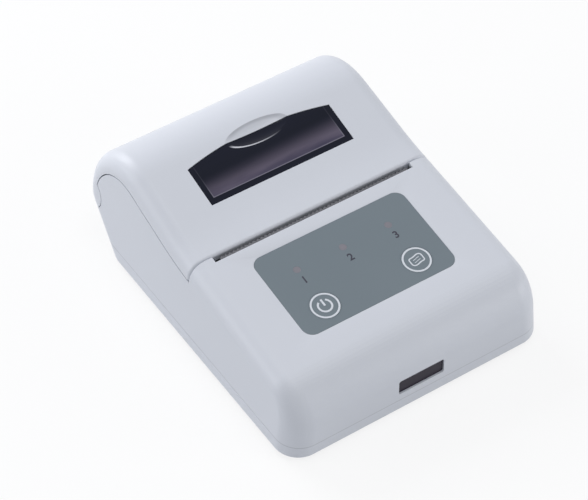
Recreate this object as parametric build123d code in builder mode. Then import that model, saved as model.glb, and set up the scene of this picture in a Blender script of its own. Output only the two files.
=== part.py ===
"""Portable thermal receipt printer: drafted two part case, hinged paper cover, key panel and print works."""
import os
from math import cos, radians, sin, tan

from build123d import *

os.makedirs("parts", exist_ok=True)

# Outside of the case
length = 100.0
half_width = 39.5
case_bottom = 1.0
side_draft = 5.66
edge_radius = 4.8
front_top_radius = 12.3
front_y = -length / 2
rear_y = length / 2
rear_radius = 18.6
rear_foot_radius = 8.0
slot_y = rear_y - 51.4
top_bend_y = slot_y + 7.4
top_bend_z = 28.7
top_bend_radius = 60.0
front_slope = 7.886
rear_slope = 15.11
rear_foot_angle = 45.5
seam_z = 4.9
wall = 2.0
floor_thickness = 1.6
seam_gap = 0.3

# Paper path and cover
slot_width = 1.3
slot_half_length = half_width - 9.1
cover_band = 5.0
lip_thickness = 2.0
lip_radius = 0.9
hinge_y = rear_y - 3.2
hinge_z = 15.4
hinge_pin_radius = 1.0
knuckle_radius = 2.0
ear_radius = 4.5
ear_clearance = 0.25
hinge_running = 0.05
lug_half_gap = half_width - 8.2
lug_thickness = 3.2
hood_reach = 1.2
barrel_length = 9.0

# Window in the cover
window_front_y = slot_y + 13.5
window_corner_y = window_front_y + 11.7
window_half_width = half_width - 17.55
window_sagitta = 2.6
window_ledge = 1.6
lens_thickness = 1.3
lens_recess = 0.12
lens_fit = 0.06
scoop_y = window_corner_y + 1.8
scoop_half_length = 9.4
scoop_half_width = 3.3
scoop_depth = 1.0

# Key panel
panel_width = 2 * half_width - 33.0
panel_length = slot_y - front_y - 21.7
panel_centre_y = slot_y - 5.4 - panel_length / 2
panel_radius = 3.0
panel_thickness = 0.6
panel_fit = 0.08
key_x = panel_width / 2 - 9.0
key_from_centre = -0.273 * panel_length
key_radius = 0.149 * panel_length
key_gap = 0.3
key_travel = 0.35
led_from_centre = 0.2 * panel_length
led_radius = 1.0

# Front light port
port_width = 13.8
port_height = 4.7
port_z = 9.5
port_radius = 0.6

# Print works
platen_y = slot_y + 5.4
platen_z = 20.6
platen_radius = 4.6
bracket_x = half_width - 9.3
platen_half_length = bracket_x - 1.6
shaft_radius = 1.5
gear_module = 0.5
platen_teeth = 18
idler_teeth = 24
pinion_teeth = 10
gear_width = 2.2
gear_x = bracket_x + 2.4
train_lean = 6.9
pinion_lean = 8.0
paper_gap = 0.3
bracket_thickness = 1.4
frame_x = bracket_x
frame_thickness = 1.2
motor_radius = 5.8
motor_length = 15.0

# Paper bay
roll_radius = 14.0
bay_y = hinge_y - 17.2
bay_z = 18.2
bay_radius = 14.3
bay_wall = 1.0
bay_half_length = lug_half_gap - 1.5

# Battery
door_half_width = half_width - 15.5
door_low_y, door_high_y = front_y + 6.0, slot_y - 15.6
battery_width = 2 * door_half_width + 6.0
battery_length = door_high_y - door_low_y + 2.0
battery_height = 9.4
battery_y = (door_low_y + door_high_y) / 2 + 0.5

slope = tan(radians(front_slope))
rear_run = tan(radians(rear_slope))
foot_run = 1 / tan(radians(rear_foot_angle))
rear_corner_z = top_bend_z + (rear_y - top_bend_y) * rear_run
rear_foot_z = (
    rear_corner_z
    - rear_radius * tan(radians(90 + rear_slope) / 2)
    - rear_foot_radius * tan(radians(90 - rear_foot_angle) / 2)
    - 0.42
)
below = 13.0


def top_z(y):
    """Height of the case top over the front slope."""
    return top_bend_z + (y - top_bend_y) * slope


outline_points = [
    (front_y, case_bottom - below),
    (front_y, top_z(front_y)),
    (top_bend_y, top_bend_z),
    (rear_y, rear_corner_z),
    (rear_y, rear_foot_z),
    (rear_y - (rear_foot_z - case_bottom + below) * foot_run, case_bottom - below),
]
outline_radii = [8.0, front_top_radius, top_bend_radius, rear_radius, rear_foot_radius, 8.0]


def side_outline(inset):
    """Side view of the case, drawn in by the given amount."""
    with BuildSketch(Plane.YZ) as outline:
        with BuildLine():
            FilletPolyline(*outline_points, radius=outline_radii, close=True)
        make_face()
        if inset > 0:
            offset(amount=-inset)
    return outline.sketch


def side_slab(inset, half_length):
    """The side view carried straight across the width."""
    with BuildPart() as slab:
        extrude(side_outline(inset), amount=half_length, both=True)
    return slab.part


def case_block(inset):
    """The case as one solid with drafted sides and rounded side edges."""
    lean = tan(radians(side_draft))
    low, high = case_bottom - below, 60.0
    with BuildPart() as block:
        extrude(side_outline(inset), amount=2 * half_width, both=True)
        with BuildSketch(Plane.XZ):
            with BuildLine():
                wide = half_width + (case_bottom - low) * lean - inset
                narrow = half_width - (high - case_bottom) * lean - inset
                Polyline((-wide, low), (wide, low), (narrow, high), (-narrow, high), close=True)
            make_face()
        extrude(amount=length, both=True, mode=Mode.INTERSECT)
        sides = block.faces().sort_by(Axis.X)
        fillet(sides[0].edges() + sides[-1].edges(), radius=edge_radius - inset)
    return block.part


outer = case_block(0)
inner = case_block(wall)
panel_plane = Plane(
    origin=(0, panel_centre_y, top_z(panel_centre_y)),
    x_dir=(1, 0, 0),
    z_dir=(0, -sin(radians(front_slope)), cos(radians(front_slope))),
)


def rod(y, z, radius, start, finish):
    """Round bar along X at the given place."""
    with BuildPart() as bar:
        with BuildSketch(Plane.YZ.offset(start)):
            with Locations((y, z)):
                Circle(radius)
        extrude(amount=finish - start)
    return bar.part


def bar_yz(y_low, y_high, z_low, z_high, start, finish):
    """Plain rectangular bar along X."""
    with BuildPart() as bar:
        with BuildSketch(Plane.YZ.offset(start)):
            with Locations(((y_low + y_high) / 2, (z_low + z_high) / 2)):
                Rectangle(y_high - y_low, z_high - z_low)
        extrude(amount=finish - start)
    return bar.part


# Lower case: shallow tray with floor, screw posts, battery opening and foot seats
screw_x = half_width - 5.2
screw_front, screw_rear = front_y + 8.0, hinge_y - 17.8
screw_places = [(x, y) for x in (-screw_x, screw_x) for y in (screw_front, screw_rear)]
door_fit = 0.15
door_thickness = 1.0
door_rim = 1.5
screw_radius = 1.2
head_radius = 2.2
head_depth = 1.4
post_radius = 3.2
foot_radius = 3.5
foot_height = 1.0
foot_seat = 0.4
foot_x, foot_front, foot_rear = half_width - 10.5, front_y + 12.5, hinge_y - 15.8
foot_places = [(-foot_x, foot_front), (foot_x, foot_front), (4 - foot_x, foot_rear), (foot_x - 4, foot_rear)]
with BuildPart() as lower_case:
    add(outer)
    with BuildSketch(Plane.XY.offset(case_bottom)):
        Rectangle(3 * half_width, 2 * length)
    extrude(amount=seam_z - case_bottom, mode=Mode.INTERSECT)
    fillet(lower_case.faces().sort_by(Axis.Z)[0].outer_wire().edges(), radius=0.8)
    with BuildPart(mode=Mode.PRIVATE) as tray_room:
        add(inner)
        with BuildSketch(Plane.XY.offset(case_bottom + floor_thickness)):
            Rectangle(3 * half_width, 2 * length)
        extrude(amount=40, mode=Mode.INTERSECT)
    add(tray_room.part, mode=Mode.SUBTRACT)
    # Screw posts with counterbored holes
    with BuildSketch(Plane.XY.offset(case_bottom + floor_thickness)):
        with Locations(*screw_places):
            Circle(post_radius)
    extrude(amount=seam_z - case_bottom - floor_thickness)
    with BuildSketch(Plane.XY.offset(case_bottom)):
        with Locations(*screw_places):
            Circle(screw_radius + 0.1)
    extrude(amount=seam_z, mode=Mode.SUBTRACT)
    with BuildSketch(Plane.XY.offset(case_bottom)):
        with Locations(*screw_places):
            Circle(head_radius + 0.2)
    extrude(amount=head_depth + 0.6, mode=Mode.SUBTRACT)
    # Battery opening with a rim that the door sits in
    with BuildSketch(Plane.XY.offset(case_bottom)):
        with Locations((0, (door_low_y + door_high_y) / 2)):
            RectangleRounded(2 * (door_half_width + door_fit), door_high_y - door_low_y + 2 * door_fit, 2.0)
    extrude(amount=door_thickness, mode=Mode.SUBTRACT)
    with BuildSketch(Plane.XY.offset(case_bottom)):
        with Locations((0, (door_low_y + door_high_y) / 2)):
            RectangleRounded(2 * (door_half_width - door_rim), door_high_y - door_low_y - 2 * door_rim, 1.0)
    extrude(amount=floor_thickness, mode=Mode.SUBTRACT)
    # Foot seats
    with BuildSketch(Plane.XY.offset(case_bottom)):
        with Locations(*foot_places):
            Circle(foot_radius + 0.1)
    extrude(amount=foot_seat, mode=Mode.SUBTRACT)
lower_case.part.label = "lower_case"
export_step(lower_case.part, "parts/lower_case.step")

# Rubber feet
with BuildPart() as feet:
    with BuildSketch(Plane.XY):
        with Locations(*foot_places):
            Circle(foot_radius)
    extrude(amount=foot_height + foot_seat)
    chamfer(feet.edges().group_by(Axis.Z)[0], length=0.35)
feet.part.label = "feet"
export_step(feet.part, "parts/feet.step")

# Case screws from below
screw_length = 9.0
with BuildPart() as case_screws:
    with BuildSketch(Plane.XY.offset(case_bottom + 0.6)):
        with Locations(*screw_places):
            Circle(head_radius)
    extrude(amount=head_depth)
    with BuildSketch(Plane.XY.offset(case_bottom + 0.6)):
        with Locations(*screw_places):
            Circle(screw_radius)
    extrude(amount=screw_length)
    with BuildSketch(Plane.XY.offset(case_bottom + 0.6)):
        with Locations(*screw_places):
            Rectangle(2.4, 0.6)
            Rectangle(0.6, 2.4)
    extrude(amount=0.8, mode=Mode.SUBTRACT)
case_screws.part.label = "case_screws"
export_step(case_screws.part, "parts/case_screws.step")

# Battery door, flush in the floor with two hooks and a grip
with BuildPart() as battery_door:
    with BuildSketch(Plane.XY.offset(case_bottom)):
        with Locations((0, (door_low_y + door_high_y) / 2)):
            RectangleRounded(2 * door_half_width, door_high_y - door_low_y, 1.8)
    extrude(amount=door_thickness - 0.05)
    with BuildSketch(Plane.XY.offset(case_bottom)):
        with Locations((0, door_high_y - 5.0)):
            with GridLocations(0, 1.2, 1, 4):
                Rectangle(12.0, 0.5)
    extrude(amount=0.35, mode=Mode.SUBTRACT)
battery_door.part.label = "battery_door"
export_step(battery_door.part, "parts/battery_door.step")

# Room that the cover needs in the upper case
case_edge_y = slot_y - slot_width / 2
cover_edge_y = slot_y + slot_width / 2
seam_y = cover_edge_y - seam_gap
with BuildPart() as cover_room:
    with BuildSketch(Plane.YZ):
        with BuildLine():
            Polyline((seam_y, hinge_z), (length, hinge_z), (length, length), (seam_y, length), close=True)
        make_face()
    extrude(amount=half_width, both=True)
    add(side_slab(cover_band + seam_gap, half_width + 1), mode=Mode.SUBTRACT)
    with BuildSketch(Plane.YZ):
        with BuildLine():
            Polyline((case_edge_y, hinge_z), (seam_y + 1, hinge_z), (seam_y + 1, length), (case_edge_y, length), close=True)
        make_face()
    extrude(amount=slot_half_length, both=True)

# Upper case: shell with the seam round the cover, key recess, port, sockets and hinge lugs
usb_y, usb_z = slot_y - 28.6, 9.2
jack_y, jack_z = slot_y - 17.2, 9.4
with BuildPart() as upper_case:
    add(outer)
    add(inner, mode=Mode.SUBTRACT)
    with BuildSketch(Plane.XY.offset(seam_z)):
        Rectangle(3 * half_width, 2 * length)
    extrude(amount=length, mode=Mode.INTERSECT)
    add(cover_room.part, mode=Mode.SUBTRACT)
    add(rod(hinge_y, hinge_z, ear_radius + ear_clearance, -half_width, half_width), mode=Mode.SUBTRACT)
    # Key panel recess and the well below it
    with BuildSketch(panel_plane):
        RectangleRounded(panel_width + 2 * panel_fit, panel_length + 2 * panel_fit, panel_radius + panel_fit)
    extrude(amount=-panel_thickness, mode=Mode.SUBTRACT)
    with BuildSketch(panel_plane):
        with Locations((-key_x, key_from_centre), (key_x, key_from_centre)):
            Circle(key_radius + key_gap + 0.3)
        with Locations((-key_x, led_from_centre), (0, led_from_centre), (key_x, led_from_centre)):
            Circle(led_radius + 0.2)
    extrude(amount=-3 * wall, mode=Mode.SUBTRACT)
    # Front light port
    with BuildSketch(Plane.XZ.offset(-front_y - wall - 1)):
        with Locations((0, port_z)):
            RectangleRounded(port_width, port_height, port_radius)
    extrude(amount=wall + 2, mode=Mode.SUBTRACT)
    # Charging jack and data socket openings in the right side
    with BuildSketch(Plane.YZ.offset(half_width - 6)):
        with Locations((usb_y, usb_z)):
            RectangleRounded(8.4, 4.0, 0.8)
        with Locations((jack_y, jack_z)):
            Circle(3.2)
    extrude(amount=10, mode=Mode.SUBTRACT)
    # Tear bar seat along the slot edge
    with BuildSketch(Plane.YZ):
        with BuildLine():
            Polyline(
                (case_edge_y - 0.7, top_z(case_edge_y - 0.7) + 1),
                (case_edge_y + 0.5, top_z(case_edge_y) + 1),
                (case_edge_y + 0.5, top_z(case_edge_y) - 5),
                (case_edge_y - 0.7, top_z(case_edge_y) - 5),
                close=True,
            )
        make_face()
    extrude(amount=slot_half_length, both=True, mode=Mode.SUBTRACT)
    # Screw posts down from the top at the front and along the sides
    with BuildPart(mode=Mode.PRIVATE) as posts:
        with BuildSketch(Plane.XY.offset(seam_z)):
            with Locations(*screw_places):
                Circle(post_radius)
        extrude(amount=7.0)
        add(outer, mode=Mode.INTERSECT)
    add(posts.part)
    with BuildSketch(Plane.XY.offset(seam_z)):
        with Locations(*screw_places):
            Circle(screw_radius + 0.05)
    extrude(amount=6.2, mode=Mode.SUBTRACT)
upper_case.part.label = "upper_case"
export_step(upper_case.part, "parts/upper_case.step")

# Hinge lugs: a bearing plate at each end, footed on the lower case floor
lug_foot = case_bottom + floor_thickness
with BuildPart() as hinge_lugs:
    for side in (-1, 1):
        near = side * lug_half_gap
        with BuildSketch(Plane.YZ.offset(near)):
            with Locations((hinge_y - 7.4, (lug_foot + hinge_z + 1.2) / 2)):
                Rectangle(4.4, hinge_z + 1.2 - lug_foot)
        extrude(amount=side * lug_thickness)
    add(inner, mode=Mode.INTERSECT)
    for side in (-1, 1):
        with BuildSketch(Plane.YZ.offset(side * lug_half_gap)):
            with Locations((hinge_y - 4.4, hinge_z + 0.45)):
                Rectangle(6.2, 1.5)
            with Locations((hinge_y, hinge_z)):
                Circle(knuckle_radius)
        extrude(amount=side * lug_thickness)
    with BuildSketch(Plane.YZ):
        with Locations((hinge_y, hinge_z)):
            Circle(hinge_pin_radius + 0.02)
    extrude(amount=half_width, both=True, mode=Mode.SUBTRACT)
    with BuildSketch(Plane.XY.offset(lug_foot)):
        for side in (-1, 1):
            with Locations((side * (lug_half_gap + lug_thickness / 2), hinge_y - 11.0)):
                Rectangle(lug_thickness, 3.0)
    extrude(amount=1.4)
hinge_lugs.part.label = "hinge_lugs"
export_step(hinge_lugs.part, "parts/hinge_lugs.step")

# Hinge pin
pin_half = lug_half_gap + lug_thickness + 0.4
hinge_pin = rod(hinge_y, hinge_z, hinge_pin_radius, -pin_half, pin_half)
hinge_pin.label = "hinge_pin"
export_step(hinge_pin, "parts/hinge_pin.step")


def window_outline(plane, grow):
    """Window outline in plan: straight front and sides with a bowed rear edge."""
    with BuildSketch(plane) as outline:
        with BuildLine():
            Polyline(
                (-window_half_width, window_corner_y),
                (-window_half_width, window_front_y),
                (window_half_width, window_front_y),
                (window_half_width, window_corner_y),
            )
            ThreePointArc(
                (window_half_width, window_corner_y),
                (0, window_corner_y + window_sagitta),
                (-window_half_width, window_corner_y),
            )
        make_face()
        if grow:
            offset(amount=grow, kind=Kind.INTERSECTION)
    return outline.sketch


# Finger scoop across the rear edge of the window, a spindle shaped dish
scoop_tilt = rear_slope * 0.9
scoop_top = top_bend_z + (scoop_y - top_bend_y) * rear_run - 0.05
scoop_lift = (scoop_half_width ** 2 - scoop_depth ** 2) / (2 * scoop_depth)
scoop_section = scoop_lift + scoop_depth
scoop_plane = Plane(
    origin=(0.6, scoop_y, scoop_top),
    x_dir=(1, 0, 0),
    z_dir=(0, -sin(radians(scoop_tilt)), cos(radians(scoop_tilt))),
)
with BuildPart() as scoop_tool:
    with BuildSketch(Plane(origin=scoop_plane.origin, x_dir=(1, 0, 0), z_dir=scoop_plane.y_dir)):
        with BuildLine():
            edge_arc = ThreePointArc((-scoop_half_length, 0), (0, scoop_depth), (scoop_half_length, 0))
            Polyline((scoop_half_length, 0), (scoop_half_length, -scoop_lift), (-scoop_half_length, -scoop_lift), (-scoop_half_length, 0))
        make_face()
    revolve(
        axis=Axis(
            scoop_plane.origin + scoop_plane.z_dir * scoop_lift,
            (1, 0, 0),
        )
    )

lip_bottom = platen_z + platen_radius + 0.35

# Paper cover: shell over the rear with lip, window seat, hinge ears, knuckles and platen brackets
with BuildPart() as paper_cover:
    with BuildPart(mode=Mode.PRIVATE) as cover_zone:
        with BuildSketch(Plane.YZ):
            with BuildLine():
                Polyline((cover_edge_y, hinge_z), (length, hinge_z), (length, length), (cover_edge_y, length), close=True)
            make_face()
        extrude(amount=half_width, both=True)
        add(side_slab(cover_band, half_width + 1), mode=Mode.SUBTRACT)
        add(rod(hinge_y, hinge_z, ear_radius, -half_width, half_width))
    add(outer)
    add(inner, mode=Mode.SUBTRACT)
    add(cover_zone.part, mode=Mode.INTERSECT)
    # Hood below the hinge line, kept short inside so that it clears the lugs as the cover opens
    add(
        bar_yz(hinge_y - 8, hinge_y + hood_reach, hinge_z - 8, hinge_z, 4.2 - half_width, half_width - 4.2),
        mode=Mode.SUBTRACT,
    )
    # Rounded front edge over the slot
    front_edge = paper_cover.faces().sort_by(Axis.Y)[0].edges().sort_by(Axis.Z)[-1]
    fillet(front_edge, radius=lip_radius)
    # Lip over the slot
    with BuildPart(mode=Mode.PRIVATE) as lip:
        add(bar_yz(cover_edge_y, cover_edge_y + lip_thickness, lip_bottom, 40, 5.5 - half_width, half_width - 5.5))
        add(side_slab(lip_radius + 0.1, half_width), mode=Mode.INTERSECT)
    add(lip.part)
    # Window opening, ledge and seat
    window_well = extrude(window_outline(Plane.XY.offset(20), -window_ledge), amount=30, mode=Mode.PRIVATE)
    add(window_well, mode=Mode.SUBTRACT)
    with BuildPart(mode=Mode.PRIVATE) as window_seat:
        extrude(window_outline(Plane.XY.offset(20), 0), amount=30)
        add(side_slab(lens_recess + lens_thickness + lens_fit, half_width), mode=Mode.SUBTRACT)
    add(window_seat.part, mode=Mode.SUBTRACT)
    add(scoop_tool.part, mode=Mode.SUBTRACT)
    # Room round the lug barrels, then the cover's own barrels
    for side in (-1, 1):
        room_start = min(side * (lug_half_gap - 0.3), side * (lug_half_gap + lug_thickness + 0.3))
        add(rod(hinge_y, hinge_z, knuckle_radius + 0.3, room_start, room_start + lug_thickness + 0.6), mode=Mode.SUBTRACT)
    for start in (0.4 - lug_half_gap, -barrel_length / 2, lug_half_gap - 0.4 - barrel_length):
        with BuildSketch(Plane.YZ.offset(start)):
            with Locations((hinge_y, hinge_z)):
                Circle(knuckle_radius)
        extrude(amount=barrel_length)
    with BuildSketch(Plane.YZ):
        with Locations((hinge_y, hinge_z)):
            Circle(hinge_pin_radius + hinge_running)
    extrude(amount=half_width - 3.0, both=True, mode=Mode.SUBTRACT)
paper_cover.part.label = "paper_cover"
export_step(paper_cover.part, "parts/paper_cover.step")

# Smoked lens
with BuildPart() as cover_lens:
    add(side_slab(lens_recess, half_width))
    add(side_slab(lens_recess + lens_thickness, half_width + 1), mode=Mode.SUBTRACT)
    lens_prism = extrude(window_outline(Plane.XY.offset(20), -lens_fit), amount=30, mode=Mode.PRIVATE)
    add(lens_prism, mode=Mode.INTERSECT)
    add(scoop_tool.part, mode=Mode.SUBTRACT)
cover_lens.part.label = "cover_lens"
export_step(cover_lens.part, "parts/cover_lens.step")

# Platen brackets: two plates hung from the cover that carry the platen shaft
bracket_top = top_z(platen_y) - wall
with BuildPart() as platen_brackets:
    for side in (-1, 1):
        with BuildSketch(Plane.YZ.offset(side * bracket_x - bracket_thickness / 2)):
            with Locations((platen_y + 3.0, (platen_z + bracket_top) / 2 + 1.0)):
                Rectangle(6.0, bracket_top - platen_z + 2.0)
            with Locations((platen_y, platen_z)):
                Circle(shaft_radius + 1.6)
            with Locations((platen_y + 1.0, platen_z + 1.6)):
                Rectangle(2.6, 3.2)
        extrude(amount=bracket_thickness)
    add(inner, mode=Mode.INTERSECT)
    with BuildSketch(Plane.YZ):
        with Locations((platen_y, platen_z)):
            Circle(shaft_radius + hinge_running)
    extrude(amount=half_width, both=True, mode=Mode.SUBTRACT)
platen_brackets.part.label = "platen_brackets"
export_step(platen_brackets.part, "parts/platen_brackets.step")

# Platen shaft
shaft_out = gear_x + gear_width / 2 + 0.4
platen_shaft = rod(platen_y, platen_z, shaft_radius, -bracket_x - bracket_thickness / 2 - 1.0, shaft_out)
platen_shaft.label = "platen_shaft"
export_step(platen_shaft, "parts/platen_shaft.step")

# Platen rubber sleeve
with BuildPart() as platen_rubber:
    with BuildSketch(Plane.YZ.offset(-platen_half_length)):
        with Locations((platen_y, platen_z)):
            Circle(platen_radius)
            Circle(shaft_radius, mode=Mode.SUBTRACT)
    extrude(amount=2 * platen_half_length)
    chamfer(platen_rubber.edges().filter_by(GeomType.CIRCLE).sort_by(SortBy.RADIUS)[-2:], length=0.4)
platen_rubber.part.label = "platen_rubber"
export_step(platen_rubber.part, "parts/platen_rubber.step")


def spur_gear(teeth, y, z, turn, bore, start, width):
    """Spur gear along X with straight flanked teeth, first tooth at the given angle."""
    pitch = teeth * gear_module / 2
    root, tip = pitch - 1.25 * gear_module, pitch + 0.92 * gear_module
    step = 360.0 / teeth
    foot_half, pitch_half, tip_half = (
        radians(step) * share * radius for share, radius in ((0.30, root), (0.225, pitch), (0.11, tip))
    )
    with BuildPart() as gear:
        with BuildSketch(Plane(origin=(start, y, z), x_dir=(0, 1, 0), z_dir=(1, 0, 0))):
            Circle(root + 0.02)
            with PolarLocations(0, teeth, start_angle=turn):
                Polygon(
                    (root - 0.1, -foot_half),
                    (pitch, -pitch_half),
                    (tip, -tip_half),
                    (tip, tip_half),
                    (pitch, pitch_half),
                    (root - 0.1, foot_half),
                    align=None,
                )
            Circle(bore, mode=Mode.SUBTRACT)
        extrude(amount=width)
    return gear.part


def gear_reach(first, second):
    """Distance between the axes of two meshing gears."""
    return (first + second) * gear_module / 2 + 0.06


# Gear train: platen gear on the cover, idler below it, pinion on the motor
idler_reach = gear_reach(platen_teeth, idler_teeth)
idler_y = platen_y - idler_reach * sin(radians(train_lean))
idler_z = platen_z - idler_reach * cos(radians(train_lean))
pinion_reach = gear_reach(idler_teeth, pinion_teeth)
pinion_y = idler_y - pinion_reach * cos(radians(pinion_lean))
pinion_z = idler_z - pinion_reach * sin(radians(pinion_lean))
gear_start = gear_x - gear_width / 2
platen_to_idler = 270.0 - train_lean
idler_to_pinion = 180.0 + pinion_lean
idler_turn = (platen_to_idler + 180.0) % (360.0 / idler_teeth) + 180.0 / idler_teeth
phase = (idler_to_pinion - idler_turn) / (360.0 / idler_teeth)
pinion_turn = idler_to_pinion + 180.0 + (phase + 0.5) * 360.0 / pinion_teeth

platen_gear = spur_gear(platen_teeth, platen_y, platen_z, platen_to_idler, shaft_radius, gear_start, gear_width)
platen_gear.label = "platen_gear"
export_step(platen_gear, "parts/platen_gear.step")

axle_radius = 1.2
idler_gear = spur_gear(idler_teeth, idler_y, idler_z, idler_turn, axle_radius + hinge_running, gear_start, gear_width)
idler_gear.label = "idler_gear"
export_step(idler_gear, "parts/idler_gear.step")

motor_pinion = spur_gear(pinion_teeth, pinion_y, pinion_z, pinion_turn, 0.8, gear_start, gear_width)
motor_pinion.label = "motor_pinion"
export_step(motor_pinion, "parts/motor_pinion.step")

motor_front = frame_x - frame_thickness / 2
motor_shaft = rod(pinion_y, pinion_z, 0.8, motor_front - 4.0, gear_x + gear_width / 2 + 0.3)
motor_shaft.label = "motor_shaft"
export_step(motor_shaft, "parts/motor_shaft.step")

# Works frame: side plates low down and at the front, joined by a cross plate behind the print head
frame_floor = case_bottom + floor_thickness
head_front = platen_y - platen_radius - paper_gap
head_plate = 0.8
sink_plate = 1.6
back_gap = 3.2
back_front = head_front - head_plate - sink_plate - back_gap
back_plate = 1.2
with BuildPart() as works_frame:
    for side in (-1, 1):
        with BuildSketch(Plane.YZ.offset(side * frame_x - frame_thickness / 2)):
            with BuildLine():
                Polyline(
                    (back_front - back_plate - 6.0, frame_floor),
                    (idler_y + 5.0, frame_floor),
                    (idler_y + 5.0, idler_z + 3.2),
                    (head_front - 0.4, idler_z + 5.2),
                    (head_front - 0.4, platen_z + 1.4),
                    (back_front - back_plate, platen_z + 1.4),
                    (back_front - back_plate, idler_z + 5.5),
                    (back_front - back_plate - 6.0, idler_z + 5.5),
                    close=True,
                )
            make_face()
        extrude(amount=frame_thickness)
    add(bar_yz(back_front - back_plate, back_front, idler_z + 7.2, platen_z + 1.4, -frame_x, frame_x))
    # Motor clearance, shaft hole and axle seat
    with BuildSketch(Plane.YZ.offset(frame_x - frame_thickness)):
        with Locations((pinion_y, pinion_z)):
            Circle(1.6)
        with Locations((idler_y, idler_z)):
            Circle(axle_radius)
    extrude(amount=2 * frame_thickness, mode=Mode.SUBTRACT)
works_frame.part.label = "works_frame"
export_step(works_frame.part, "parts/works_frame.step")

# Idler axle
idler_axle = rod(idler_y, idler_z, axle_radius, motor_front, gear_x + gear_width / 2 + 0.5)
idler_axle.label = "idler_axle"
export_step(idler_axle, "parts/idler_axle.step")

# Stepper motor can with a boss at its front
with BuildPart() as motor_body:
    with BuildSketch(Plane.YZ.offset(motor_front - motor_length)):
        with Locations((pinion_y, pinion_z)):
            Circle(motor_radius)
    extrude(amount=motor_length)
    fillet(motor_body.edges().filter_by(GeomType.CIRCLE).sort_by(Axis.X)[0:1], radius=0.8)
    with BuildSketch(Plane.YZ.offset(motor_front - 4.1)):
        with Locations((pinion_y, pinion_z)):
            Circle(0.85)
    extrude(amount=5.0, mode=Mode.SUBTRACT)
motor_body.part.label = "motor_body"
export_step(motor_body.part, "parts/motor_body.step")

# Thermal print head: ceramic strip on a heat sink, pushed by springs
head_low, head_high = platen_z - 5.4, platen_z + 2.4
head_half = platen_half_length
with BuildPart() as print_head:
    add(bar_yz(head_front - head_plate, head_front, head_low, head_high, -head_half, head_half))
    fillet(print_head.edges().filter_by(Axis.X).sort_by(Axis.Z)[-1:], radius=0.3)
print_head.part.label = "print_head"
export_step(print_head.part, "parts/print_head.step")

with BuildPart() as heat_sink:
    add(bar_yz(head_front - head_plate - sink_plate, head_front - head_plate, head_low - 1.0, head_high - 0.6, -head_half, head_half))
heat_sink.part.label = "heat_sink"
export_step(heat_sink.part, "parts/heat_sink.step")

# Head springs between the cross plate and the heat sink
spring_radius = 1.2
spring_wire = 0.22
spring_z = platen_z - 0.6
with BuildPart() as head_springs:
    for place in (-0.63 * platen_half_length, 0.0, 0.63 * platen_half_length):
        with BuildLine() as coil:
            Helix(
                pitch=(back_gap - 2.2 * spring_wire) / 4,
                height=back_gap - 2.2 * spring_wire,
                radius=spring_radius,
                center=(place, back_front + 1.1 * spring_wire, spring_z),
                direction=(0, 1, 0),
            )
        with BuildSketch(Plane(origin=coil.line @ 0, z_dir=coil.line % 0)):
            RegularPolygon(spring_wire, 6)
        sweep(path=coil.line, is_frenet=True)
head_springs.part.label = "head_springs"
export_step(head_springs.part, "parts/head_springs.step")

# Serrated tear bar along the slot edge
tear_tooth = 1.2
tear_count = int(2 * (slot_half_length - 1.6) / tear_tooth)
tear_half = tear_count * tear_tooth / 2
tear_plane = Plane(
    origin=(0, case_edge_y - 0.65, top_z(case_edge_y - 0.65)),
    x_dir=(1, 0, 0),
    z_dir=(0, -sin(radians(front_slope)), cos(radians(front_slope))),
)
with BuildPart() as tear_bar:
    with BuildSketch(tear_plane):
        with BuildLine():
            for tooth in range(tear_count):
                left = -tear_half + tooth * tear_tooth
                Polyline((left, 0.35), (left + tear_tooth / 2, 0.85), (left + tear_tooth, 0.35))
            Polyline((tear_half, 0.35), (tear_half, 0), (-tear_half, 0), (-tear_half, 0.35))
        make_face()
    extrude(amount=-0.4)
    with BuildSketch(tear_plane.offset(-0.4)):
        with Locations((0, 0.2)):
            Rectangle(2 * tear_half, 0.4)
    extrude(amount=-2.6)
tear_bar.part.label = "tear_bar"
export_step(tear_bar.part, "parts/tear_bar.step")

# Key panel overlay with holes for keys and lights
with BuildPart() as key_panel:
    with BuildSketch(panel_plane):
        RectangleRounded(panel_width, panel_length, panel_radius)
        with Locations((-key_x, key_from_centre), (key_x, key_from_centre)):
            Circle(key_radius + key_gap, mode=Mode.SUBTRACT)
        with Locations((-key_x, led_from_centre), (0, led_from_centre), (key_x, led_from_centre)):
            Circle(led_radius + 0.02, mode=Mode.SUBTRACT)
    extrude(amount=-(panel_thickness - 0.02))
key_panel.part.label = "key_panel"
export_step(key_panel.part, "parts/key_panel.step")

# Round keys with a stem down to the switches
board_drop = 6.2
switch_height = 1.6
stem_gap = 0.0
for name, side in (("power_key", -1), ("feed_key", 1)):
    with BuildPart() as key:
        with BuildSketch(panel_plane.offset(-1.4)):
            with Locations((side * key_x, key_from_centre)):
                Circle(key_radius)
        extrude(amount=1.4)
        fillet(key.edges().group_by(SortBy.LENGTH)[-1].sort_by(Axis.Z)[-1:], radius=0.15)
        with BuildSketch(panel_plane.offset(-1.4)):
            with Locations((side * key_x, key_from_centre)):
                Circle(1.6)
        extrude(amount=-(board_drop - switch_height - 1.4 - key_travel - 0.05))
    key.part.label = name
    export_step(key.part, "parts/" + name + ".step")

# Light pipes in the panel
with BuildPart() as light_pipes:
    with BuildSketch(panel_plane.offset(-4.2)):
        with Locations((-key_x, led_from_centre), (0, led_from_centre), (key_x, led_from_centre)):
            Circle(led_radius)
    extrude(amount=4.2)
light_pipes.part.label = "light_pipes"
export_step(light_pipes.part, "parts/light_pipes.step")

# Main board under the panel, with its parts
board_thickness = 1.0
board_width, board_length = 2 * half_width - 17.0, panel_length - 2.9
with BuildPart() as main_board:
    with BuildSketch(panel_plane.offset(-board_drop - board_thickness)):
        with Locations((0, -1.6)):
            RectangleRounded(board_width, board_length, 1.0)
    extrude(amount=board_thickness)
main_board.part.label = "main_board"
export_step(main_board.part, "parts/main_board.step")

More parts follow.
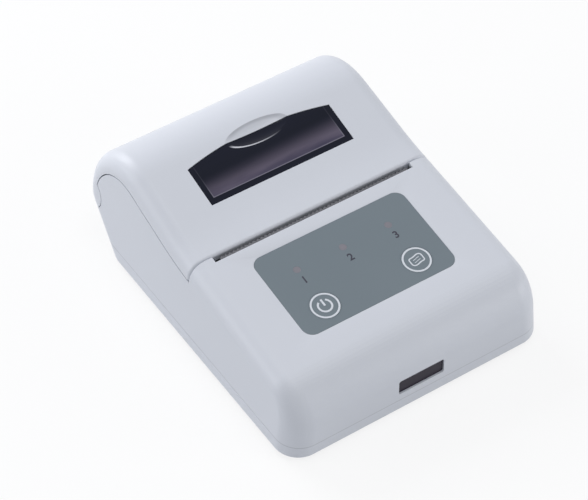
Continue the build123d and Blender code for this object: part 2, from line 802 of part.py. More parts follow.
with BuildPart() as key_switches:
    with BuildSketch(panel_plane.offset(-board_drop)):
        with Locations((-key_x, key_from_centre), (key_x, key_from_centre)):
            Rectangle(5.2, 5.2)
    extrude(amount=switch_height - 0.5)
    with BuildSketch(panel_plane.offset(-board_drop)):
        with Locations((-key_x, key_from_centre), (key_x, key_from_centre)):
            Circle(1.5)
    extrude(amount=switch_height)
key_switches.part.label = "key_switches"
export_step(key_switches.part, "parts/key_switches.step")

with BuildPart() as board_chips:
    with BuildSketch(panel_plane.offset(-board_drop)):
        with Locations((0, -2.0)):
            Rectangle(9.0, 9.0)
        with Locations((7.0 - board_width / 2, 3.0), (board_width / 2 - 7.0, 3.0)):
            Rectangle(5.0, 6.5)
        with Locations((-0.5 * key_x, 5.5), (0.5 * key_x, 5.5)):
            Rectangle(2.6, 1.6)
    extrude(amount=1.1)
board_chips.part.label = "board_chips"
export_step(board_chips.part, "parts/board_chips.step")

# Battery pack in the front of the tray
battery_low = case_bottom + floor_thickness + 0.1
with BuildPart() as battery_pack:
    with BuildSketch(Plane.XY.offset(battery_low)):
        with Locations((0, battery_y)):
            RectangleRounded(battery_width, battery_length, 2.5)
    extrude(amount=battery_height)
    fillet(battery_pack.edges().group_by(Axis.Z)[-1], radius=1.5)
battery_pack.part.label = "battery_pack"
export_step(battery_pack.part, "parts/battery_pack.step")

# Front window of the light port, set back in its opening
with BuildPart() as port_window:
    with BuildSketch(Plane.XZ.offset(-front_y - wall - 1.2)):
        with Locations((0, port_z)):
            Rectangle(port_width + 3.0, port_height + 1.6)
    extrude(amount=3.0)
    add(inner, mode=Mode.INTERSECT)
    with BuildSketch(Plane.XZ.offset(-front_y - wall - 0.8)):
        with Locations((0, port_z)):
            RectangleRounded(port_width - 0.1, port_height - 0.1, port_radius)
    extrude(amount=wall + 0.3)
port_window.part.label = "port_window"
export_step(port_window.part, "parts/port_window.step")

# Data socket and charging jack behind the right side
side_in = half_width - wall - 1.3
with BuildPart() as data_socket:
    with BuildSketch(Plane.YZ.offset(side_in - 7.0)):
        with Locations((usb_y, usb_z)):
            RectangleRounded(7.6, 3.2, 0.6)
    extrude(amount=7.0)
    with BuildSketch(Plane.YZ.offset(side_in - 5.5)):
        with Locations((usb_y, usb_z)):
            RectangleRounded(6.8, 2.4, 0.4)
            Rectangle(4.8, 0.8, mode=Mode.SUBTRACT)
    extrude(amount=6.0, mode=Mode.SUBTRACT)
data_socket.part.label = "data_socket"
export_step(data_socket.part, "parts/data_socket.step")

with BuildPart() as charge_jack:
    with BuildSketch(Plane.YZ.offset(side_in - 8.0)):
        with Locations((jack_y, jack_z)):
            Rectangle(7.0, 7.0)
    extrude(amount=8.0)
    with BuildSketch(Plane.YZ.offset(side_in - 6.5)):
        with Locations((jack_y, jack_z)):
            Circle(2.6)
            Circle(0.7, mode=Mode.SUBTRACT)
    extrude(amount=7.0, mode=Mode.SUBTRACT)
charge_jack.part.label = "charge_jack"
export_step(charge_jack.part, "parts/charge_jack.step")

# Paper bay: open trough for the roll with closed ends
bay_out = bay_radius + bay_wall
bay_floor = case_bottom + floor_thickness
bay_front_top = 21.0
bay_rear_top = 10.2
with BuildPart() as paper_bay:
    with BuildSketch(Plane.YZ.offset(-bay_half_length - bay_wall)):
        with Locations((bay_y, bay_z)):
            Circle(bay_out)
        with BuildLine():
            Polyline(
                (bay_y - bay_out, bay_z), (bay_y, bay_z), (bay_y, bay_z + 4), (bay_y - bay_out, bay_z + 4), close=True
            )
        make_face()
        with BuildLine():
            Polyline(
                (bay_y - bay_out - 1, bay_front_top),
                (bay_y + 2.0, bay_front_top),
                (hinge_y - 6.0, bay_rear_top),
                (length, bay_rear_top),
                (length, length),
                (bay_y - bay_out - 1, length),
                close=True,
            )
        make_face(mode=Mode.SUBTRACT)
    extrude(amount=2 * (bay_half_length + bay_wall))
    with BuildSketch(Plane.YZ.offset(-bay_half_length)):
        with Locations((bay_y, bay_z)):
            Circle(bay_radius)
        with BuildLine():
            Polyline(
                (bay_y - bay_radius, bay_z), (bay_y, bay_z), (bay_y, length), (bay_y - bay_radius, length), close=True
            )
        make_face()
    extrude(amount=2 * bay_half_length, mode=Mode.SUBTRACT)
paper_bay.part.label = "paper_bay"
export_step(paper_bay.part, "parts/paper_bay.step")

# Paper sensor on a small board in front of the bay
with BuildPart() as paper_sensor:
    with BuildSketch(Plane.XY.offset(bay_front_top - 5.0)):
        with Locations((-10.0, bay_y - bay_out - 1.2)):
            Rectangle(9.0, 2.0)
    extrude(amount=4.0)
paper_sensor.part.label = "paper_sensor"
export_step(paper_sensor.part, "parts/paper_sensor.step")
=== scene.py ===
"""Portable thermal receipt printer on a pale studio floor."""
import math

import bmesh
import bpy
import numpy as np
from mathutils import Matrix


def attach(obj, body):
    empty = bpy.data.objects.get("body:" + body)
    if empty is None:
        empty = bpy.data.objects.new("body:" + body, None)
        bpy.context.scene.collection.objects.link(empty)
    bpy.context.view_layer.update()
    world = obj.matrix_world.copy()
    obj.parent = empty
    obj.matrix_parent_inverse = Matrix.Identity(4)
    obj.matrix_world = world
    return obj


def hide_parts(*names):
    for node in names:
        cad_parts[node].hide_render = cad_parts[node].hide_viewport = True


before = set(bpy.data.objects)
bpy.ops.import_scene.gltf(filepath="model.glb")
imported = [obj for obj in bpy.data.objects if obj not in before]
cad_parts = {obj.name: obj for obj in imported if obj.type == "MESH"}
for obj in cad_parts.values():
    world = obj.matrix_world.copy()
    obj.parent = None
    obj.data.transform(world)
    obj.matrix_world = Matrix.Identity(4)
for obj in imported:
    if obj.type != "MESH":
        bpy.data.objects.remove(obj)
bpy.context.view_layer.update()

# The floor and the room: a wide pale sheet under the printer, and a soft even sky.
# The floor keeps the printer's shadow, and both show white where nothing stands in front of them.


class Socket:
    """A node's output that can be used in sums; each sum adds the Math node for it."""

    def __init__(self, tree, output):
        self.tree, self.output = tree, output

    def math(self, operation, *values):
        return self.tree.node("ShaderNodeMath", {"operation": operation}, *values)

    def __add__(self, other):
        return self.math("ADD", self, other)

    __radd__ = __add__

    def __mul__(self, other):
        return self.math("MULTIPLY", self, other)

    __rmul__ = __mul__

    def __sub__(self, other):
        return self.math("SUBTRACT", self, other)

    def __rsub__(self, other):
        return self.math("SUBTRACT", other, self)

    def __truediv__(self, other):
        return self.math("DIVIDE", self, other)

    def __abs__(self):
        return self.math("ABSOLUTE", self)

    def over(self, edge, soft):
        """Smooth step from 0 to 1 as the value passes the edge."""
        ends = (edge - soft, edge + soft, 0.0, 1.0)
        return self.tree.node("ShaderNodeMapRange", {"interpolation_type": "SMOOTHSTEP"}, self, *ends)


class Nodes:
    """A node tree, and the few calls that build its nodes."""

    def __init__(self, tree):
        self.nodes, self.links = tree.nodes, tree.links

    def put(self, value, target):
        """Links a socket to an input, or sets the input to a plain value."""
        if isinstance(value, Socket):
            self.links.new(value.output, target)
        else:
            target.default_value = value

    def node(self, kind, settings, *values, output=0, **named):
        """Adds a node with its settings, then the values or links of its inputs in order and by name."""
        made = self.nodes.new(kind)
        for key, value in settings.items():
            setattr(made, key, value)
        for target, value in zip(made.inputs, values):
            self.put(value, target)
        for key, value in named.items():
            self.put(value, made.inputs[key.replace("_", " ")])
        return Socket(self, made.outputs[output])

    def background_rays(self):
        """1 for rays from the camera, from gloss and through glass, and 0 for those that light things."""
        kinds = ("Is Camera Ray", "Is Glossy Ray", "Is Transmission Ray")
        camera_ray, glossy_ray, clear_ray = (self.node("ShaderNodeLightPath", {}, output=kind) for kind in kinds)
        return camera_ray + glossy_ray + clear_ray


class Finish(Nodes):
    """A material with one Principled shader."""

    def __init__(self, name, color, rough, **fixed):
        self.material = bpy.data.materials.new(name)
        self.material.use_nodes = True
        super().__init__(self.material.node_tree)
        self.shader = self.nodes["Principled BSDF"]
        self.shader.inputs["Base Color"].default_value = (*color, 1)
        self.shader.inputs["Roughness"].default_value = rough
        for key, value in fixed.items():
            self.shader.inputs[key.replace("_", " ")].default_value = value
        self.material.diffuse_color = (*color, 1)

    def place(self):
        """Object coordinates, which are metres in the printer's own frame."""
        return self.node("ShaderNodeTexCoord", {}, output="Object")

    def axes(self):
        """The three object coordinates as sockets: across, along and up."""
        parts = self.node("ShaderNodeSeparateXYZ", {}, self.place())
        return [Socket(self, output) for output in parts.output.node.outputs]

    def noise(self, scale, detail=2.0, stretch=None):
        """Noise on the object coordinates, from 0 to 1, drawn out along the axes with a small stretch."""
        where = self.place()
        if stretch:
            where = self.node("ShaderNodeMapping", {}, where, Scale=stretch)
        return self.node("ShaderNodeTexNoise", {}, Vector=where, Scale=scale, Detail=detail)

    def mix(self, factor, first, second):
        """Colour between the first, at factor 0, and the second, at factor 1."""
        made = self.nodes.new("ShaderNodeMix")
        made.data_type = "RGBA"
        self.put(factor, made.inputs[0])
        self.put(first, made.inputs[6])
        self.put(second, made.inputs[7])
        return Socket(self, made.outputs[2])

    def feed(self, **sockets):
        """Links what changes over the surface to the shader."""
        for key, value in sockets.items():
            self.put(value, self.shader.inputs[key.replace("_", " ")])

    def bump(self, height, strength, distance):
        return self.node("ShaderNodeBump", {}, Strength=strength, Distance=distance, Height=height)


def give(name, finish):
    """Gives a CAD node its finish."""
    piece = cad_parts[name]
    piece.data.materials.clear()
    piece.data.materials.append(finish.material)


floor_reach, floor_level, floor_white = 4.0, -0.00002, 0.82
floor_mesh = bpy.data.meshes.new("floor")
corners = [(x * floor_reach, y * floor_reach, floor_level) for x, y in ((-1, -1), (1, -1), (1, 1), (-1, 1))]
floor_mesh.from_pydata(corners, [], [(0, 1, 2, 3)])
floor = bpy.data.objects.new("floor", floor_mesh)
bpy.context.scene.collection.objects.link(floor)
paper = Finish("floor_paper", (0.86, 0.87, 0.88), 0.8)
plain = paper.node("ShaderNodeEmission", {}, (1, 1, 1, 1), 1.0)
lit = Socket(paper, paper.shader.outputs[0])
seen = paper.node("ShaderNodeMixShader", {}, paper.background_rays() * floor_white, lit, plain)
paper.put(seen, paper.nodes["Material Output"].inputs[0])
floor_mesh.materials.append(paper.material)

world = bpy.data.worlds.new("studio")
bpy.context.scene.world = world
world.use_nodes = True
sky = Nodes(world.node_tree)
soft_light = sky.node("ShaderNodeBackground", {}, (0.93, 0.945, 1.0, 1), 0.42)
white_sky = sky.node("ShaderNodeBackground", {}, (1, 1, 1, 1), 1.0)
either = sky.node("ShaderNodeMixShader", {}, sky.background_rays(), soft_light, white_sky)
sky.put(either, sky.nodes["World Output"].inputs[0])


def lamp(name, place, aim, size, power, color):
    """Square soft box at a place, turned to its aim."""
    light = bpy.data.lights.new(name, "AREA")
    light.size, light.energy, light.color = size, power, color
    made = bpy.data.objects.new(name, light)
    made.location = place
    step = np.array(aim) - np.array(place)
    tilt = math.atan2(math.hypot(step[0], step[1]), -step[2])
    made.rotation_euler = (tilt, 0, math.atan2(step[1], step[0]) - math.pi / 2)
    bpy.context.scene.collection.objects.link(made)


printer_middle = (0, 0, 0.02)
lamp("rear_box", (-0.15, 0.85, 0.5), (0, 0.03, 0.02), 0.5, 5.4, (0.97, 0.97, 1.0))
lamp("left_box", (-0.8, 0.42, 0.4), printer_middle, 0.5, 1.9, (0.99, 0.99, 1.0))
lamp("top_box", (0.1, -0.1, 0.95), printer_middle, 0.5, 2.2, (1.0, 1.0, 1.0))
lamp("front_box", (0.7, -0.7, 0.3), printer_middle, 0.4, 2.4, (1.0, 0.99, 0.98))

# The camera stands to the printer's front left and looks down on it, as in the photograph.
# Its lens is long, and its frame is shifted a little because the picture was cut from a larger one.
view_turn, view_lift, view_roll = math.radians(-33.68), math.radians(46.03), math.radians(0.12)
view_away, view_aim = 0.6234, np.array((0.0, 0.0046, 0.0216))
picture_wide, focal_pixels, sensor_wide = 588, 2406.2, 36.0
level = math.cos(view_lift)
towards = np.array((math.sin(view_turn) * level, -math.cos(view_turn) * level, math.sin(view_lift)))
optics = bpy.data.cameras.new("camera")
optics.lens, optics.sensor_width = sensor_wide * focal_pixels / picture_wide, sensor_wide
optics.shift_x, optics.shift_y = -2.5 / picture_wide, -37.5 / picture_wide
optics.clip_start = 0.01
camera = bpy.data.objects.new("camera", optics)
camera.location = view_aim + towards * view_away
camera.rotation_euler = (math.pi / 2 - view_lift, view_roll, view_turn)
bpy.context.scene.collection.objects.link(camera)
bpy.context.scene.camera = camera
bpy.context.scene.view_settings.view_transform = "Standard"

# Case, tray, cover and battery door: injection moulded ABS in a cool white, with a fine spark eroded grain.
# One resin and one tool maker, so they share the finish; the tone drifts a little where the flow met.
# The tray meets the upper case in a fine moulded line all round, 3.9 mm above the bottom.
seam_height = 0.0049
scoop_across, scoop_along, scoop_half_length, scoop_half_width = 0.0006, 0.0256, 0.0094, 0.0033


def scoop_oval(across, along):
    """Square of the distance from the thumb scoop's middle, where the scoop's rim is 1."""
    wide = (across - scoop_across) / scoop_half_length
    deep = (along - scoop_along) / scoop_half_width
    return wide * wide + deep * deep


white = Finish("case_white", (0.59, 0.62, 0.67), 0.4, Specular_IOR_Level=0.45)
grain = white.noise(2600.0, 3.0)
drift = white.noise(16.0)
flow = white.noise(60.0, 3.0, stretch=(1.0, 0.25, 1.0))
across, along, up = white.axes()
groove = 1 - abs(up - seam_height).over(0.00011, 0.00009)
body = white.mix(drift, (0.575, 0.60, 0.65, 1), (0.625, 0.65, 0.70, 1))
body = white.mix(flow * 0.3, body, (0.62, 0.645, 0.695, 1))
# Painted shade: on the top, the rear wall of the thumb scoop is painted a darker grey where it lies in shade.
oval = scoop_oval(across, along)
rim = oval.over(0.70, 0.2) * (1 - oval.over(1.01, 0.02))
on_top = up.over(0.02, 0.001)
shaded_rear_half = (along + 0.12 * across).over(0.0262, 0.0012)
body = white.mix(rim * on_top * shaded_rear_half * 0.55, body, (0.30, 0.31, 0.35, 1))
white.feed(
    Base_Color=white.mix(groove * 0.6, body, (0.33, 0.335, 0.37, 1)),
    Roughness=0.36 + 0.12 * grain,
    Normal=white.bump(grain * 0.3 - groove, 0.25, 0.00012),
)
for name in ("paper_cover", "battery_door"):
    give(name, white)

# Front corners of the case and the tray: the mould maker swept them wider in plan than the long edges.
# The sweep fades out up the front roll, so both shells are the frame's own with these two corners drawn in.
# Sizes are in millimetres, as on a drawing.
half_width, half_length, case_bottom, side_draft = 39.5, 50.0, 1.0, math.radians(5.66)
bend_y, bend_z, front_slope, front_roll = 6.0, 28.7, math.radians(7.886), 12.3
roll_y = front_roll - half_length
roll_z = bend_z - (bend_y - roll_y) * math.tan(front_slope) - front_roll / math.cos(front_slope)
edge_radius, corner_radius, sweep_end = 4.8, 7.0, math.radians(78)


def sweep_corners(places):
    """Draws the front corners in: measured inwards from the side and from the front profile, a point keeps its
    direction from the new corner centre, and its distance is scaled so that the old outline lands on the new arc."""
    x, y, z = places.T * 1000
    from_side = (half_width - (z - case_bottom) * math.tan(side_draft) - np.abs(x)) * math.cos(side_draft)
    forward, raised = roll_y - y, z - roll_z
    on_roll = raised > 0
    turn = np.where(on_roll, np.arctan2(raised, forward), 0.0)
    from_front = np.where(on_roll, front_roll - np.hypot(forward, raised), y + half_length)
    share = np.clip(1 - turn / sweep_end, 0, 1)
    share = np.where(forward > 0, share * share * (3 - 2 * share), 0.0)
    radius = edge_radius + (corner_radius - edge_radius) * share
    side, front = radius - from_side, radius - from_front
    inside = (side > 0) & (front > 0) & (forward > 0) & (share > 0)
    side, front = np.where(inside, side, 1.0), np.where(inside, front, 1.0)
    away = np.hypot(side, front)
    c, s = side / away, front / away
    grow = radius - edge_radius
    arc = grow * (c + s) + np.sqrt(np.maximum((grow * (c + s)) ** 2 - 2 * grow**2 + edge_radius**2, 0))
    outline = np.where(radius * (1 - c / s) > edge_radius, radius / s, arc)
    outline = np.where(radius * (1 - s / c) > edge_radius, radius / c, outline)
    keep = np.where(inside, 1 - radius / outline, 0.0)
    inwards, backwards = side * keep, front * keep
    x = x - np.sign(x) * inwards / math.cos(side_draft)
    return np.stack((x, y + backwards * np.cos(turn), z - backwards * np.sin(turn)), -1) / 1000


def near_corner(face):
    """Whether a face reaches one of the two front corners."""
    return min(v.co.y for v in face.verts) < -0.0375 and max(abs(v.co.x) for v in face.verts) > 0.028


def draw_in(name):
    """Copies a shell, joins its loose triangles, cuts it finely near the front corners and sweeps them."""
    mesh = bpy.data.meshes.new(name + "_swept")
    fine = bmesh.new()
    fine.from_mesh(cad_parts[name].data)
    bmesh.ops.remove_doubles(fine, verts=fine.verts, dist=1e-6)
    cuts = []
    for depth in np.arange(5.2, 9.2, 0.45):
        at_side = (half_width - depth / math.cos(side_draft)) / 1000
        for sign in (-1, 1):
            cuts.append(((sign * at_side, 0, 0.001), (sign * math.cos(side_draft), 0, math.sin(side_draft))))
        cuts.append(((0, (depth - half_length) / 1000, 0), (0, 1, 0)))
    for height in (8.0, 10.2, 12.5, 15.0, 18.0):
        cuts.append(((0, 0, height / 1000), (0, 0, 1)))
    for place, normal in cuts:
        near = [face for face in fine.faces if near_corner(face)]
        around = {item for face in near for item in (*face.verts, *face.edges)}
        bmesh.ops.bisect_plane(fine, geom=[*near, *around], plane_co=place, plane_no=normal, dist=1e-6)
    bmesh.ops.triangulate(fine, faces=fine.faces)
    fine.to_mesh(mesh)
    fine.free()
    flat = np.empty(len(mesh.vertices) * 3)
    mesh.vertices.foreach_get("co", flat)
    mesh.vertices.foreach_set("co", sweep_corners(flat.reshape(-1, 3)).ravel())
    mesh.materials.clear()
    mesh.materials.append(white.material)
    mesh.update()
    mesh.shade_smooth()
    mesh.set_sharp_from_angle(angle=math.radians(28))
    made = bpy.data.objects.new(name + "_swept", mesh)
    bpy.context.scene.collection.objects.link(made)
    made.modifiers.new("even_normals", "WEIGHTED_NORMAL").keep_sharp = True
    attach(made, "case")
    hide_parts(name)


draw_in("upper_case")
draw_in("lower_case")

# Window: a smoked polycarbonate plate let into the cover from above, with a polished face.
# A frame is printed black behind its rim; the middle is painted with the dull violet of the empty paper bay, as
# though seen through the glass.
# Painted light makes that middle lighter towards the front and fades it to dark at the rear; a thin painted
# highlight runs along the pane's edge.
# The thumb scoop is cut through its rear edge, and a pale crescent along the cut is a painted highlight.
frame_side, frame_front, line_wide, crisp = 0.0203, 0.0139, 0.00022, 0.0001
smoke = Finish("lens_smoke", (0.006, 0.007, 0.014), 0.08, Specular_IOR_Level=0.12)
across, along, _ = smoke.axes()
from_side, from_front = frame_side - abs(across), along - frame_front
pane = from_side.over(0.0, crisp) * from_front.over(0.0, crisp)
inner = from_side.over(line_wide, crisp) * from_front.over(line_wide, crisp)
streak = smoke.noise(55.0, 4.0, stretch=(0.35, 2.4, 1.0))
# Painted light: the painted bay view is lighter towards the front and fades to dark at the rear.
painted_light_fade = 1 - (along + 0.0035 * streak - 0.03 * across).over(0.0192, 0.0034)
dark = smoke.mix(streak, (0.003, 0.0045, 0.010, 1), (0.010, 0.012, 0.026, 1))
tint = smoke.mix(streak.over(0.52, 0.12), (0.052, 0.047, 0.082, 1), (0.14, 0.12, 0.168, 1))
glass = smoke.mix(inner * painted_light_fade, dark, tint)
# Painted highlight: a thin pale line along the pane's edge, strongest on the lit front part.
glass = smoke.mix((pane - inner) * (0.1 + 0.9 * painted_light_fade), glass, (0.20, 0.19, 0.24, 1))
# Painted highlight: a pale crescent on the lens along the front wall of the scoop's cut, brightest left of the
# middle.
oval = scoop_oval(across, along)
edge = oval.over(0.86, 0.05) * (1 - oval.over(1.02, 0.03))
painted_highlight_part = (0.0245 - along).over(0.0, 0.0006) * (1 - (across - 0.001).over(0.001, 0.005))
smoke.feed(
    Base_Color=smoke.mix(edge * painted_highlight_part, glass, (0.62, 0.63, 0.68, 1)),
    Roughness=0.07 + 0.06 * streak,
)
give("cover_lens", smoke)

# Key panel: a printed polyester film over two keys and three lights, matt slate grey.
# It is glued in a shallow recess; thin webs of the film join it to the round keys.
film = Finish("panel_film", (0.165, 0.205, 0.235), 0.5, Specular_IOR_Level=0.3)
film_grain = film.noise(1500.0)
film.feed(
    Base_Color=film.mix(film.noise(30.0), (0.148, 0.184, 0.208, 1), (0.17, 0.206, 0.23, 1)),
    Roughness=0.46 + 0.14 * film_grain,
    Normal=film.bump(film_grain, 0.06, 0.00005),
)
for name in ("key_panel", "power_key", "feed_key"):
    give(name, film)
panel_y, panel_length = -20.25, 26.9
panel_middle = np.array((0.0, panel_y, bend_z - (bend_y - panel_y) * math.tan(front_slope))) / 1000
panel_axes = np.array((
    (1.0, 0.0, 0.0),
    (0.0, math.cos(front_slope), math.sin(front_slope)),
    (0.0, -math.sin(front_slope), math.cos(front_slope)),
))


def on_panel(across, along, lift):
    """Places on the panel, in metres, from millimetres across it, up it and out of it."""
    return panel_middle + np.stack(np.broadcast_arrays(across, along, lift), -1) / 1000 @ panel_axes


def grid_piece(name, grid, body, finish, closed, ends):
    """A surface from an array of places, joined round where closed says so, with flat end caps on request."""
    rows, columns = grid.shape[:2]
    index = np.arange(rows * columns).reshape(rows, columns)
    if closed[0]:
        index = np.vstack((index, index[:1]))
    if closed[1]:
        index = np.hstack((index, index[:, :1]))
    quads = np.stack((index[:-1, :-1], index[1:, :-1], index[1:, 1:], index[:-1, 1:]), -1).reshape(-1, 4).tolist()
    if ends:
        quads += [index[0, :columns].tolist(), index[-1, :columns][::-1].tolist()]
    mesh = bpy.data.meshes.new(name)
    mesh.from_pydata(grid.reshape(-1, 3).tolist(), [], quads)
    mesh.materials.append(finish.material)
    made = bpy.data.objects.new(name, mesh)
    bpy.context.scene.collection.objects.link(made)
    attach(made, body)


def print_line(name, path, wide, body, finish, closed=True, low=-0.01, high=0.03):
    """A raised printed line: a flat oblong section carried along a path on the panel."""
    if closed:
        run = np.roll(path, -1, 0) - np.roll(path, 1, 0)
    else:
        run = np.gradient(path, axis=0)
    run /= np.linalg.norm(run, axis=1)[:, None]
    out = np.stack((run[:, 1], -run[:, 0]), -1) * wide / 2
    edge = np.stack((path + out, path - out, path - out, path + out), 1)
    lift = np.array((low, low, high, high))[None, :].repeat(len(path), 0)
    places = on_panel(edge[..., 0], edge[..., 1], lift)
    grid_piece(name, places, body, finish, (closed, True), not closed)


def ring_path(centre, radius, first=0.0, last=2 * math.pi, count=96, closed=True):
    """Points on a circle round the centre, from one angle to the other."""
    turn = np.linspace(first, last, count, endpoint=not closed)
    return np.array(centre) + radius * np.stack((np.cos(turn), np.sin(turn)), -1)


# Printing on the keys: white rings with the usual power sign and a sheet of paper.
# Each is a thin raised layer of ink on the key's film, and a web of film closes the gap round each key.
key_x, key_y, line_points = 14.0, -0.273 * panel_length, 12
ink = Finish("white_ink", (0.68, 0.72, 0.76), 0.45)
ink.feed(
    Base_Color=ink.mix(ink.noise(900.0), (0.60, 0.64, 0.68, 1), (0.68, 0.71, 0.76, 1)),
    Roughness=0.4 + 0.15 * ink.noise(2000.0),
)
for name, sign, carrier in (("power", -1, "power_button"), ("feed", 1, "feed_button")):
    key_at = (sign * key_x, key_y)
    print_line(name + "_ring", ring_path(key_at, 3.6), 0.5, carrier, ink)
    print_line(name + "_web", ring_path(key_at, 4.155), 0.27, "case", film, low=-0.12, high=0.0)
power_at = np.array((-key_x, key_y))
opening = math.radians(33)
arc = ring_path(power_at, 1.8, math.pi / 2 + opening, 2.5 * math.pi - opening, 64, False)
print_line("power_arc", arc, 0.52, "power_button", ink, False)
bar = power_at + np.stack((np.zeros(line_points), np.linspace(0.0, 2.1, line_points)), -1)
print_line("power_bar", bar, 0.54, "power_button", ink, False)
wave, squareness = 1.5, 5
turn = np.linspace(0, 2 * math.pi, 72, endpoint=False)
rounding = (np.abs(np.cos(turn)) ** squareness + np.abs(np.sin(turn)) ** squareness) ** (1 / squareness)
sheet_x, sheet_y = 1.9 * np.cos(turn) / rounding, 1.25 * np.sin(turn) / rounding
sheet = np.stack((key_x + sheet_x, key_y + sheet_y + 0.2 * np.sin(sheet_x * wave)), -1)
print_line("feed_sheet", sheet, 0.34, "feed_button", ink)
line_x = np.linspace(-1.0, 1.0, 14)
for name, row in (("feed_line_low", -0.42), ("feed_line_high", 0.38)):
    line = np.stack((key_x + line_x, key_y + row + 0.2 * np.sin(line_x * wave)), -1)
    print_line(name, line, 0.16, "feed_button", ink, False)

# Lights: three clear rods that end flush in the film, unlit, with a dull rose tint.
# Each has a plain number printed below it in dark ink.
glow = Finish("led_resin", (0.19, 0.18, 0.205), 0.3)
glow.feed(
    Base_Color=glow.mix(glow.noise(700.0), (0.16, 0.168, 0.19, 1), (0.21, 0.192, 0.22, 1)),
    Roughness=0.25 + 0.2 * glow.noise(900.0),
)
give("light_pipes", glow)
dark_ink = Finish("dark_ink", (0.022, 0.022, 0.04), 0.5)
dark_ink.feed(Base_Color=dark_ink.mix(dark_ink.noise(900.0), (0.018, 0.018, 0.034, 1), (0.03, 0.03, 0.05, 1)))
digit_size, digit_y, digit_thick, digit_bold = 3.0, 1.75, 0.012, 0.07
for digit_x, digit in ((-key_x, "1"), (0.0, "2"), (key_x, "3")):
    words = bpy.data.curves.new("digit", "FONT")
    words.body, words.size, words.extrude, words.offset = digit, digit_size, digit_thick, digit_bold
    words.align_x, words.align_y = "CENTER", "CENTER"
    holder = bpy.data.objects.new("digit", words)
    mesh = bpy.data.meshes.new_from_object(holder)
    bpy.data.objects.remove(holder)
    flat = np.empty(len(mesh.vertices) * 3)
    mesh.vertices.foreach_get("co", flat)
    flat = flat.reshape(-1, 3)
    places = on_panel(flat[:, 0] + digit_x, flat[:, 1] + digit_y, flat[:, 2] + 0.01)
    mesh.vertices.foreach_set("co", places.ravel())
    mesh.materials.clear()
    mesh.materials.append(dark_ink.material)
    number = bpy.data.objects.new("light_number_" + digit, mesh)
    bpy.context.scene.collection.objects.link(number)
    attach(number, "case")

# Light port: an infrared filter, moulded in dark polycarbonate and set a little back in the front.
# It is nearly black with a violet cast, and smooth.
port = Finish("port_filter", (0.02, 0.015, 0.028), 0.22, Specular_IOR_Level=0.14)
port.feed(
    Base_Color=port.mix(port.noise(60.0), (0.016, 0.013, 0.024, 1), (0.023, 0.018, 0.032, 1)),
    Roughness=0.2 + 0.1 * port.noise(300.0),
)
give("port_window", port)

# Tear bar: a stamped strip of blued spring steel with saw teeth, dull and dark.
# It is staked behind the front edge of the slot, with its teeth turned up.
blade = Finish("tear_steel", (0.11, 0.112, 0.125), 0.5, Metallic=1.0)
rolled = blade.noise(1200.0, 3.0, stretch=(0.03, 1.0, 1.0))
blade.feed(
    Base_Color=blade.mix(rolled, (0.09, 0.092, 0.105, 1), (0.14, 0.142, 0.155, 1)),
    Roughness=0.42 + 0.16 * rolled,
    Normal=blade.bump(rolled, 0.15, 0.00005),
)
give("tear_bar", blade)

# Platen roller: silicone rubber moulded on its steel shaft and ground true.
# So it has fine rings, and a dusting of paper lint.
rubber = Finish("roller_rubber", (0.028, 0.028, 0.031), 0.7, Sheen_Weight=0.15)
rings = rubber.noise(900.0, stretch=(1.0, 0.04, 0.04))
lint = rubber.noise(380.0, 5.0)
ground = rubber.mix(rings, (0.022, 0.022, 0.025, 1), (0.036, 0.036, 0.04, 1))
rubber.feed(
    Base_Color=rubber.mix(lint.over(0.68, 0.08), ground, (0.11, 0.11, 0.11, 1)),
    Roughness=0.62 + 0.18 * rings,
    Normal=rubber.bump(rings + 0.4 * lint, 0.2, 0.00006),
)
give("platen_rubber", rubber)

# Shafts and pins: ground steel rod, bright, with faint turned rings.
# The screws, springs, switch cans, data socket and motor can are steel under a thin zinc coat.
rod = Finish("ground_steel", (0.58, 0.585, 0.60), 0.25, Metallic=1.0)
turned = rod.noise(1600.0, stretch=(1.0, 0.05, 0.05))
rod.feed(
    Base_Color=rod.mix(turned, (0.52, 0.525, 0.54, 1), (0.66, 0.665, 0.68, 1)),
    Roughness=0.2 + 0.14 * turned,
    Normal=rod.bump(turned, 0.1, 0.00003),
)
for name in ("platen_shaft", "hinge_pin", "idler_axle", "motor_shaft"):
    give(name, rod)
zinc = Finish("zinc_coat", (0.50, 0.50, 0.50), 0.38, Metallic=1.0)
zinc.feed(
    Base_Color=zinc.mix(zinc.noise(500.0, 3.0), (0.44, 0.445, 0.46, 1), (0.58, 0.585, 0.59, 1)),
    Roughness=0.32 + 0.16 * zinc.noise(1400.0),
    Normal=zinc.bump(zinc.noise(2400.0), 0.08, 0.00003),
)
for name in ("case_screws", "head_springs", "key_switches", "data_socket", "motor_body"):
    give(name, zinc)

# Gears: moulded acetal wheels, milky, pressed on their shafts, with a trace of grease in the teeth.
# The motor's pinion is cut from brass.
acetal = Finish("gear_acetal", (0.74, 0.73, 0.68), 0.42, Subsurface_Weight=0.12, Subsurface_Scale=0.001)
grease = acetal.noise(420.0, 4.0)
milky = acetal.mix(acetal.noise(90.0), (0.70, 0.69, 0.64, 1), (0.78, 0.77, 0.72, 1))
acetal.feed(
    Base_Color=acetal.mix(grease.over(0.6, 0.1), milky, (0.52, 0.46, 0.34, 1)),
    Roughness=0.46 - 0.2 * grease,
    Normal=acetal.bump(acetal.noise(1800.0), 0.06, 0.00005),
)
for name in ("platen_gear", "idler_gear"):
    give(name, acetal)
brass = Finish("pinion_brass", (0.70, 0.50, 0.20), 0.3, Metallic=1.0)
cut_marks = brass.noise(1500.0, stretch=(1.0, 0.1, 0.1))
brass.feed(
    Base_Color=brass.mix(cut_marks, (0.60, 0.41, 0.16, 1), (0.78, 0.57, 0.25, 1)),
    Roughness=0.24 + 0.16 * cut_marks,
)
give("motor_pinion", brass)

